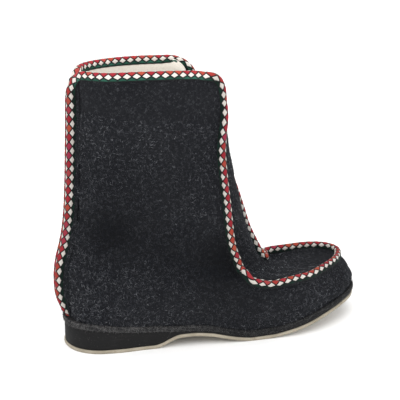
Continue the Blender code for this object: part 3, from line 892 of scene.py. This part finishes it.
def braid_line(rows, step):
    """Crown centres, standing and run directions at even steps of a braid."""
    rows = table(rows)
    count = np.arange(len(rows), dtype=float)
    at = np.linspace(0, count[-1], LINE_SAMPLES)
    columns = [flowing(at, count, rows[:, k]) for k in range(6)]
    columns[1] = np.clip(columns[1], 0, TOP_RING)
    path = shell(180 + columns[0], columns[1])
    far = np.append(0, np.cumsum(np.linalg.norm(np.diff(path, axis=0), axis=1)))
    steps = int(round(far[-1] / step)) + 1
    even = np.linspace(0, far[-1], steps)
    angle, ring, lean, tuck, twist, offset = [np.interp(even, far, v) for v in columns]
    path = shell(180 + angle, ring)
    normal = outward(180 + angle, ring)
    run = unit(smooth_run(np.gradient(path, axis=0), BRAID_SMOOTHING))
    side = unit(np.cross(normal, run))
    lean = np.radians(lean)[:, None]
    stand = normal * np.cos(lean) + side * np.sin(lean)
    share = tuck[:, None]
    crown = path + stand * (BRAID_HEIGHT - SOLID_HALF)
    crown = crown - share * (normal * UPPER_WALL / 2 + side * COLLAR_TUCK)
    back = np.clip((np.abs(angle) - BACK_SEAM_FROM) / BACK_SEAM_SPAN, 0, 1)[:, None]
    apart = side * back * (SOLID_HALF + BRAID_GAP) * (1 - share)
    crown = crown - apart
    base = path - apart, normal, side
    crown = smooth_run(crown, BRAID_SMOOTHING)
    stand = unit(smooth_run(stand, BRAID_SMOOTHING))
    run = unit(np.gradient(crown, axis=0))
    stand = unit(stand - run * np.sum(stand * run, axis=1, keepdims=True))
    turn = np.radians(twist)[:, None]
    stand = stand * np.cos(turn) + np.cross(run, stand) * np.sin(turn)
    return crown, stand, run, ring, angle, np.clip(tuck, 0, 1), offset, base


def braid_profile(outer_drop, inner_drop):
    """Folded braid at each step: across, up from the crown's centre, and distance from
    the fold, first down the inner side, over the crown and down the outer one."""
    count = len(outer_drop)
    turn = np.linspace(0, np.pi, CROWN_POINTS + 2)[1:-1]
    inner = np.linspace(1, 0, SIDE_POINTS)[None, :] * inner_drop[:, None]
    outer = np.linspace(0, 1, SIDE_POINTS)[None, :] * outer_drop[:, None]
    crown_across = np.repeat(-BRAID_HALF * np.cos(turn)[None, :], count, 0)
    crown_up = np.repeat(BRAID_HALF * np.sin(turn)[None, :], count, 0)
    across = np.concatenate([inner * 0 - BRAID_HALF, crown_across, outer * 0 + BRAID_HALF], 1)
    up = np.concatenate([-inner, crown_up, -outer], 1)
    quarter = BRAID_HALF * np.pi / 2
    crown_run = np.repeat((turn - np.pi / 2)[None, :] * BRAID_HALF, count, 0)
    run = np.concatenate([-quarter - inner, crown_run, quarter + outer], 1)
    return across, up, run


def puff(u, v):
    """How far the stitched diamonds swell out of the braid, in metres."""
    tooth = np.abs(2 * (u % 1.0) - 1)
    across = np.abs(v) * 1e3
    first = FIRST_LOW + FIRST_RISE * tooth
    second = SECOND_HIGH - SECOND_RISE * tooth
    to_line = np.minimum(np.abs(first - across), np.abs(second - across))
    to_line = np.minimum(to_line, np.abs(BRAID_EDGE - across))
    return PUFF_HEIGHT * np.sqrt(np.clip(to_line / PUFF_REACH, 0, 1))


def make_braid(name, rows, nodes):
    """Woven braid folded over a panel's edge, as a thin folded strip with closed ends."""
    step = BRAID_PITCH / STEPS_PER_PITCH
    crown, stand, run, ring, angle, tuck, offset, base = braid_line(rows, step)
    width = unit(np.cross(run, stand))
    count = len(crown)
    u = (np.arange(count) / STEPS_PER_PITCH)[:, None]
    foot = 1 - np.clip(ring / FOOT_RINGS, 0, 1)
    foot = np.clip(np.abs(angle) - FOOT_FROM, 0, 1) * foot ** FOOT_POWER
    reach = BRAID_EDGE * 1e-3 - BRAID_HALF * np.pi / 2
    outer_drop = np.maximum(reach + offset * 1e-3, LEAST_DROP) * (1 - FOOT_SHORTER * foot)
    inner_drop = np.maximum(reach - offset * 1e-3, LEAST_DROP) * (1 - FOOT_SHORTER * foot)
    across, up, v = braid_profile(outer_drop, inner_drop)
    v = v - offset[:, None] * 1e-3
    slope_across = np.gradient(across, axis=1)
    slope_up = np.gradient(up, axis=1)
    size = np.maximum(np.hypot(slope_across, slope_up), 1e-9)
    swell = puff(u, v)
    sway = sum(high * np.sin(u * turns + phase) for high, turns, phase in SWAYS)
    a = across - slope_up / size * swell + sway
    b = up + slope_across / size * swell - foot[:, None] * FOOT_SINK
    a_in = (across * (1 - BRAID_THICKNESS / BRAID_HALF))[:, ::-1]
    inner_up = np.minimum(up, BRAID_HALF - BRAID_THICKNESS)
    b_in = (inner_up - foot[:, None] * FOOT_SINK)[:, ::-1]
    a_all = np.concatenate([a, a_in], axis=1)
    b_all = np.concatenate([b, b_in], axis=1)
    v_all = np.concatenate([v, v[:, ::-1]], axis=1)
    points = crown[:, None] + width[:, None] * a_all[..., None]
    points = points + stand[:, None] * b_all[..., None]
    loops, size = points.shape[:2]
    # tone for the braid's look: the tuck share, 1 on the collar and 0 on the fins, where the
    # colour is darkened as painted shade with some wear
    shade_and_wear_factor = np.repeat(tuck, size)
    k = np.arange(a.shape[1] - 1)
    cap = np.stack([k, k + 1, size - 2 - k, size - 1 - k], 1)
    end = cap[:, ::-1] + (loops - 1) * size
    faces = np.concatenate([grid_faces(loops, size), cap, end])
    uv = np.stack([np.repeat(u, size, 1).ravel(), v_all.ravel() * 100], 1)
    piece = add_mesh(
        name, points.reshape(-1, 3), faces, BRAID, uv=uv, attribute=shade_and_wear_factor
    )
    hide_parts(*nodes)
    sink = foot * FOOT_SINK
    make_turned_edge(
        name.replace("braid", "felt_edge"), crown - stand * sink[:, None], stand, width,
        outer_drop, inner_drop, tuck, base, nodes,
    )


def make_turned_edge(name, crown, stand, width, outer_drop, inner_drop, tuck, base, nodes):
    """Felt of the panel that turns up into the braid, rolling out into the surface."""
    path, normal, side = base
    normal = unit(smooth_run(normal, BRAID_SMOOTHING))
    side = unit(smooth_run(side, BRAID_SMOOTHING))
    path = smooth_run(path, BRAID_SMOOTHING)
    free = (1 - tuck)[:, None]
    half = BRAID_HALF - TURN_INSET
    sides = []
    for sign, drop in ((-1, inner_drop), (1, outer_drop)):
        start = crown + width * sign * half - stand * (drop[:, None] - TURN_OVERLAP)
        knee = crown + width * sign * half - stand * (drop[:, None] + TURN_KNEE)
        low = path - side * sign * (half + TURN_SPREAD) - normal * TURN_SINK
        tucked = start - width * sign * TURN_OVERLAP - stand * TUCK_SINK
        low = tucked + (low - tucked) * free
        knee = tucked + (knee - tucked) * free
        share = np.linspace(0, 1, TURN_POINTS)[:, None, None]
        roll = (1 - share) ** 2 * start + 2 * share * (1 - share) * knee + share ** 2 * low
        sides.append(roll)
    inner, outer = sides
    loop = np.concatenate([inner[::-1], outer])
    points = np.swapaxes(loop, 0, 1)
    loops, size = points.shape[:2]
    k = np.arange(TURN_POINTS - 1)
    cap = np.stack([k, k + 1, size - 2 - k, size - 1 - k], 1)
    end = cap[:, ::-1] + (loops - 1) * size
    faces = np.concatenate([grid_faces(loops, size), cap, end])
    # the tone attribute carries the same painted shade as the felt wall
    piece = add_mesh(
        name, points.reshape(-1, 3), faces, FELT, attribute=painted_shade_tone(points)
    )
    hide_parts(*nodes)


def sole_edge(angles, lip):
    x = SOLE_LENGTH * (1 - np.cos(np.radians(angles))) / 2
    edge = np.stack([x, outline_y(angles)], -1)
    tangent = unit(np.roll(edge, -1, axis=0) - np.roll(edge, 1, axis=0))
    away = np.stack([tangent[:, 1], -tangent[:, 0]], -1)
    return edge + away * np.asarray(lip)[..., None], away


def make_layer(
    name, profile, bottom, top, material, node, uneven=0.0, steps=360, base_edge=None
):
    """Sole layer whose side follows a profile of lip and height share."""
    angles = np.arange(0, 360, 360 / steps)
    if base_edge is None:
        edge, away = sole_edge(angles, np.zeros(steps))
    else:
        edge = base_edge(angles)
        tangent = unit(np.roll(edge, -1, axis=0) - np.roll(edge, 1, axis=0))
        away = np.stack([tangent[:, 1], -tangent[:, 0]], -1)
    rings = []
    for k, (lip, share) in enumerate(profile):
        turn = np.radians(angles)
        rough = uneven * sum(
            share_of * np.sin(turn * turns + phase * k) for turns, share_of, phase in EDGE_WAVES
        )
        if k in (0, len(profile) - 1):
            rough = rough * 0
        plan = edge + away * (lip + rough)[:, None]
        low = bottom(edge[:, 0])
        high = top(edge[:, 0])
        rings.append(np.column_stack([plan, low + (high - low) * share]))
    centre_y = (edge[:, 1] + edge[(-np.arange(steps)) % steps, 1]) / 2
    caps_low = []
    caps_high = []
    for share in CAP_SHARES:
        x = edge[:, 0]
        y = centre_y + (edge[:, 1] - centre_y) * share
        caps_low.append(np.column_stack([x, y, bottom(x)]))
        caps_high.append(np.column_stack([x, y, top(x)]))
    loops = caps_low[::-1] + rings + caps_high
    points = np.stack(loops)
    faces = grid_faces(len(loops), steps, flip=True)
    closing = []
    for side in (0, (len(loops) - 1) * steps):
        for i in range(steps // 2):
            a, b = side + i, side + i + 1
            c, d = side + (steps - i - 1) % steps, side + (steps - i) % steps
            if len({a, b, c, d}) == 4:
                closing.append((a, b, c, d) if side else (d, c, b, a))
    closing = np.array(closing)
    piece = add_mesh(
        name, points.reshape(-1, 3), np.concatenate([faces, closing]), material,
        attribute=edge_tone(points),
    )
    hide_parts(node)


def edge_tone(points):
    """The midsole's edge grows darker from the heel to the toe."""
    x = np.asarray(points, float)[..., 0].ravel()
    return 1 - EDGE_TONE_DROP * np.clip((x - EDGE_TONE_FROM) / EDGE_TONE_SPAN, 0, 1)


def make_fuzz(name, points, normals, count, seed, size, material, node, width, toned):
    """Loose fibres that lie on a surface, each a thin bent blade, joined in one mesh."""
    length, lift = size
    random = np.random.default_rng(seed)
    pick = random.integers(0, len(points), count)
    base = points[pick]
    normal = unit(normals[pick])
    helper = random.normal(size=(count, 3))
    flat = unit(np.cross(normal, helper))
    other = unit(np.cross(normal, flat))
    long = length * random.uniform(*FIBRE_LENGTHS, count)[:, None]
    rise = lift * random.uniform(*FIBRE_RISES, count)[:, None]
    bend = random.normal(0, FIBRE_BEND, count)[:, None]
    nodes_at = []
    for s in FIBRE_JOINTS:
        arch = np.sin(np.pi * min(s, FIBRE_TOP))
        nodes_at.append(
            base + flat * long * (s - FIBRE_ROOT) + other * long * bend * (s - FIBRE_ROOT) ** 2
            + normal * (rise * arch + FIBRE_CLEAR)
        )
    nodes_at = np.stack(nodes_at, 1)
    tilt = random.uniform(-FIBRE_TILT, FIBRE_TILT, count)[:, None]
    wide = (other * FIBRE_TILT + normal * tilt) * width / 2
    left = nodes_at + wide[:, None]
    right = nodes_at - wide[:, None]
    verts = np.stack([left, right], 2).reshape(-1, 3)
    per = len(FIBRE_JOINTS) * 2
    start = np.arange(count)[:, None] * per
    # fibres are dimmed by the tone of the surface beneath them: painted shade on the felt wall,
    # darker toward the toe on the midsole edge
    share = toned(base) ** 0.5
    quads = []
    for k in range(len(FIBRE_JOINTS) - 1):
        a = start + 2 * k
        quads.append(np.concatenate([a, a + 1, a + 3, a + 2], axis=1))
    faces = np.concatenate(quads)
    tone = np.repeat(random.uniform(0, 1, count) * share, per)
    piece = add_mesh(name, verts, faces, material, attribute=tone)
    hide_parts(node)


FELT = felt_material(
    "charcoal_felt_look", (0.0085, 0.0092, 0.0118, 1), (0.0150, 0.0158, 0.0186, 1),
    (0.125, 0.130, 0.145, 1), 0.75, 0.05, 0.9, toned=True,
)
LINING = felt_material(
    "cream_lining_look", (0.74, 0.69, 0.61, 1), (0.82, 0.77, 0.70, 1),
    (0.98, 0.95, 0.90, 1), 0.3, 0.1, 0.3, 0.88,
)
EDGE_FELT = felt_material(
    "grey_edge_felt_look", (0.013, 0.013, 0.014, 1), (0.026, 0.026, 0.027, 1),
    (0.16, 0.16, 0.162, 1), 0.9, 0.10, 1.0, toned=True,
)
BRAID = braid_material()
RUBBER = rubber_material()
CREPE = crepe_material()
FIBRE = fibre_material("felt_fibre", (
    (0.0, (0.005, 0.006, 0.009, 1)),
    (0.60, (0.014, 0.016, 0.021, 1)),
    (0.80, (0.090, 0.095, 0.108, 1)),
    (1.0, (0.340, 0.350, 0.375, 1)),
))
PALE_FIBRE = fibre_material("edge_fibre", (
    (0.0, (0.02, 0.02, 0.021, 1)),
    (0.6, (0.08, 0.08, 0.081, 1)),
    (1.0, (0.30, 0.29, 0.285, 1)),
))

# sole
make_layer(
    "outsole_crepe",
    ((0.0002, 0.0), (0.0007, 0.12), (0.0009, 0.5), (0.0007, 0.88), (0.0002, 1.0)),
    underside, outsole_top, CREPE, "outsole", 0.00006,
)
make_layer(
    "wedge_rubber",
    ((-0.0002, 0.0), (0.0, 0.08), (0.0001, 0.3), (0.0, 0.6), (0.0001, 0.92), (-0.0002, 1.0)),
    lambda x: outsole_top(x) + 0.0001, lambda x: wedge_top(x) - 0.0001,
    RUBBER, "wedge", 0.00003,
)
make_layer(
    "midsole_felt_edge",
    (
        (0.0000, 0.0), (0.0007, 0.1), (0.0011, 0.35),
        (0.0012, 0.65), (0.0008, 0.9), (0.0001, 1.0),
    ),
    wedge_top, midsole_top, EDGE_FELT, "felt_midsole", 0.00018, 540,
)
make_layer(
    "insole_felt",
    ((-UPPER_WALL - 0.0006, 0.0), (-UPPER_WALL - 0.0006, 0.6), (-UPPER_WALL - 0.0012, 1.0)),
    lambda x: midsole_top(x) + 0.0002, lambda x: midsole_top(x) + INSOLE_THICKNESS,
    LINING, "insole", 0.0, 240, lambda a: shell(a, np.zeros(len(a)))[:, :2],
)

# upper, braid and fibres
outer, normal, ring = make_upper()
make_braid(
    "braid_panels", BRAID_RUN,
    ("binding_collar", "binding_front", "binding_back_outer", "binding_back_inner"),
)
STRIP_TOP = tuple((a, 12.0, 90, 1.0, 0, 0.8) for a in np.linspace(-37, 37, 12))
make_braid("braid_strip_top", STRIP_TOP, ("binding_collar",))

low_half = ring[:-BARE_TOP_ROWS] < FOOT_RING_TOP
felt_points = outer[:-BARE_TOP_ROWS]
felt_normals = normal[:-BARE_TOP_ROWS]
# fibres on the felt take its painted shade
for name, part, count, seed in (
    ("fuzz_foot", low_half, 23000, 11),
    ("fuzz_shaft", ~low_half, 27000, 12),
):
    make_fuzz(
        name, felt_points[part], felt_normals[part], count, seed, FELT_FIBRE,
        FIBRE, "upper", FELT_FIBRE_WIDTH, painted_shade_tone,
    )
edge_angles = np.arange(0, 360, 0.25)
edge, away = sole_edge(edge_angles, np.full(len(edge_angles), 0.0010))
edge_points = []
edge_normals = []
for share in np.linspace(0.1, 1.0, 10):
    z = wedge_top(edge[:, 0]) + MIDSOLE_THICKNESS * share
    edge_points.append(np.column_stack([edge, z]))
    edge_normals.append(np.column_stack([away, np.full(len(away), 0.5 * share)]))
make_fuzz(
    "fuzz_midsole", np.concatenate(edge_points), np.concatenate(edge_normals), 9000, 13,
    EDGE_FIBRE, PALE_FIBRE, "felt_midsole", EDGE_FIBRE_WIDTH, edge_tone,
)

# floor, lights and camera
floor_mesh = bpy.data.meshes.new("floor")
floor_square = ((-1, -1), (1, -1), (1, 1), (-1, 1))
corners = [(x * FLOOR_REACH, y * FLOOR_REACH, 0) for x, y in floor_square]
floor_mesh.from_pydata(corners, [], [(0, 1, 2, 3)])
floor = bpy.data.objects.new("floor", floor_mesh)
floor_nodes = Nodes("floor_paper")
floor_mesh.materials.append(floor_nodes.finish((0.96, 0.96, 0.96, 1), 0.9, specular=0.1))
bpy.context.scene.collection.objects.link(floor)

world = bpy.data.worlds.new("studio")
world.use_nodes = True
world.node_tree.nodes["Background"].inputs["Color"].default_value = (1.0, 1.0, 1.0, 1)
world.node_tree.nodes["Background"].inputs["Strength"].default_value = 1.0
bpy.context.scene.world = world
bpy.context.scene.view_settings.view_transform = "Standard"


def aim(item, target):
    item.rotation_euler = (Vector(target) - item.location).to_track_quat("-Z", "Y").to_euler()


def soft_light(name, place, size, power):
    data = bpy.data.lights.new(name, "AREA")
    data.shape = "RECTANGLE"
    data.size, data.size_y = size
    data.energy = power
    light = bpy.data.objects.new(name, data)
    light.location = place
    bpy.context.scene.collection.objects.link(light)
    aim(light, LIGHT_TARGET)


for light_row in LIGHTS:
    soft_light(*light_row)

camera_data = bpy.data.cameras.new("camera")
camera_data.sensor_width = CAMERA_SENSOR
camera_data.lens = CAMERA_LENS
camera = bpy.data.objects.new("camera", camera_data)
camera.location = CAMERA_PLACE
aim(camera, CAMERA_TARGET)
bpy.context.scene.collection.objects.link(camera)
bpy.context.scene.camera = camera
